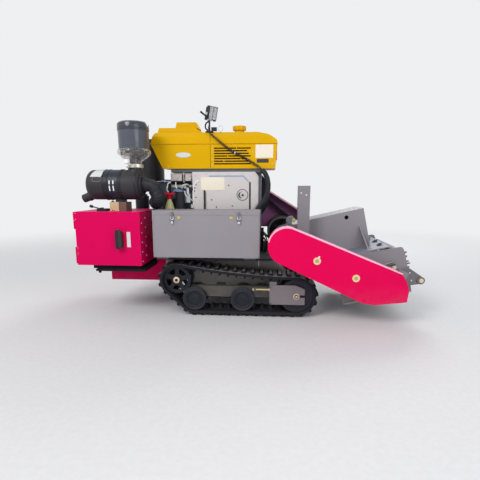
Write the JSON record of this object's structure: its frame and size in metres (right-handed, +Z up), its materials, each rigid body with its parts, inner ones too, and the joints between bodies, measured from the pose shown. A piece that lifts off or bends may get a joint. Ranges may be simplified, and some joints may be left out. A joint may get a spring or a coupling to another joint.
{
  "type": "crawler cold planer milling machine",
  "caption": "Crawler cold planer: rubber tracks, single-cylinder diesel under a yellow hood, side boxes, cabinet, air filter, and a belt-driven milling drum on a lifting arm.",
  "frame": {"origin": "on the ground, under the middle of the machine's overall length and width", "axes": "+X from the cabinet end to the milling drum end, +Y to the far side with the drive belts of the engine, +Z up"},
  "size_m": [2.2422, 1.08, 1.3843],
  "materials": {
    "magenta_paint": "gloss",
    "dark_magenta_paint": "satin",
    "yellow_paint": "gloss",
    "grey_paint": "satin",
    "frame_paint": "satin",
    "engine_paint": "satin",
    "cast_aluminium": "as cast",
    "black_paint": "satin",
    "black_plastic": "matt",
    "smoke_plastic": "gloss",
    "pale_plastic": "translucent",
    "track_rubber": "matt",
    "hose_rubber": "matt",
    "cast_iron": "machined",
    "worn_steel": "worn",
    "chrome": "polished"
  },
  "bodies": {
    "chassis": {"chassis_frame": "frame_paint", "tail_frame": "magenta_paint", "track_frames": "frame_paint", "track_near": "track_rubber", "track_far": "track_rubber", "sprockets": "cast_iron", "rollers": "cast_iron", "tensioners": "grey_paint", "side_box_near": "grey_paint", "side_box_far": "grey_paint", "cabinet_body": "magenta_paint", "cabinet_tray": "black_paint", "hydraulic_tank": "magenta_paint", "engine_block": "engine_paint", "gear_case": "cast_aluminium", "cylinder_head": "cast_aluminium", "radiator_shroud": "yellow_paint", "fuel_tank": "yellow_paint", "muffler": "black_paint", "air_filter": "black_paint", "filter_bracket": "black_paint", "precleaner": "smoke_plastic", "intake_hose": "hose_rubber", "fuel_filter": "black_paint", "oil_bottle": "pale_plastic", "control_valve": "black_paint", "work_lamp": "black_plastic", "lamp_cable": "hose_rubber", "drain_hose": "hose_rubber", "post": "grey_paint", "far_guard": "dark_magenta_paint", "engine_belts": "hose_rubber"},
    "cabinet_door": {"cabinet_door": "magenta_paint"},
    "side_door_near": {"side_door_near": "grey_paint"},
    "side_door_far": {"side_door_far": "grey_paint"},
    "flywheel": {"flywheel": "cast_iron"},
    "jackshaft": {"jackshaft": "cast_iron"},
    "milling_unit": {"mill_housing": "grey_paint", "mill_sides": "grey_paint", "lift_beam": "grey_paint", "belt_guard": "magenta_paint", "drum_belts": "hose_rubber"},
    "milling_drum": {"milling_drum": "worn_steel"},
    "lift_barrel": {"ram_barrel": "black_paint"},
    "lift_rod": {"ram_rod": "chrome"}
  },
  "joints": [
    {"name": "lift", "type": "hinge", "parent": "chassis", "child": "milling_unit", "pos_m": [0.241, 0, 0.498], "axis": [0, 1, 0], "range_deg": [-6, 13]},
    {"name": "drum_spin", "type": "hinge", "parent": "milling_unit", "child": "milling_drum", "pos_m": [0.82491, 0, 0.25821], "axis": [0, 1, 0], "continuous": true},
    {"name": "jackshaft_spin", "type": "hinge", "parent": "chassis", "child": "jackshaft", "pos_m": [0.241, 0, 0.498], "axis": [0, 1, 0], "continuous": true},
    {"name": "engine_spin", "type": "hinge", "parent": "chassis", "child": "flywheel", "pos_m": [-0.078, 0, 0.79], "axis": [0, 1, 0], "continuous": true},
    {"name": "lift_barrel_turn", "type": "hinge", "parent": "chassis", "child": "lift_barrel", "pos_m": [0.244, 0, 0.228], "axis": [0, 1, 0], "range_deg": [-20, 20]},
    {"name": "lift_rod_slide", "type": "slide", "parent": "lift_barrel", "child": "lift_rod", "axis": [0.9124, 0, 0.4093], "range_m": [-0.07, 0.04]},
    {"name": "cabinet_door_hinge", "type": "hinge", "parent": "chassis", "child": "cabinet_door", "pos_m": [-1.11, -0.438, 0.5205], "axis": [0, 0, -1], "range_deg": [0, 110]},
    {"name": "side_door_near_hinge", "type": "hinge", "parent": "chassis", "child": "side_door_near", "pos_m": [-0.2635, -0.432, 0.398], "axis": [1, 0, 0], "range_deg": [0, 95]},
    {"name": "side_door_far_hinge", "type": "hinge", "parent": "chassis", "child": "side_door_far", "pos_m": [-0.474, 0.432, 0.398], "axis": [-1, 0, 0], "range_deg": [0, 95]}
  ],
  "couplings": [
    {"joint": "jackshaft_spin", "follows": "drum_spin", "ratio": 0.94444},
    {"joint": "engine_spin", "follows": "drum_spin", "ratio": 1.1333},
    {"joint": "lift_barrel_turn", "follows": "lift", "ratio": 0.66643},
    {"joint": "lift_rod_slide", "follows": "lift", "m_per_rad": -0.25236}
  ]
}
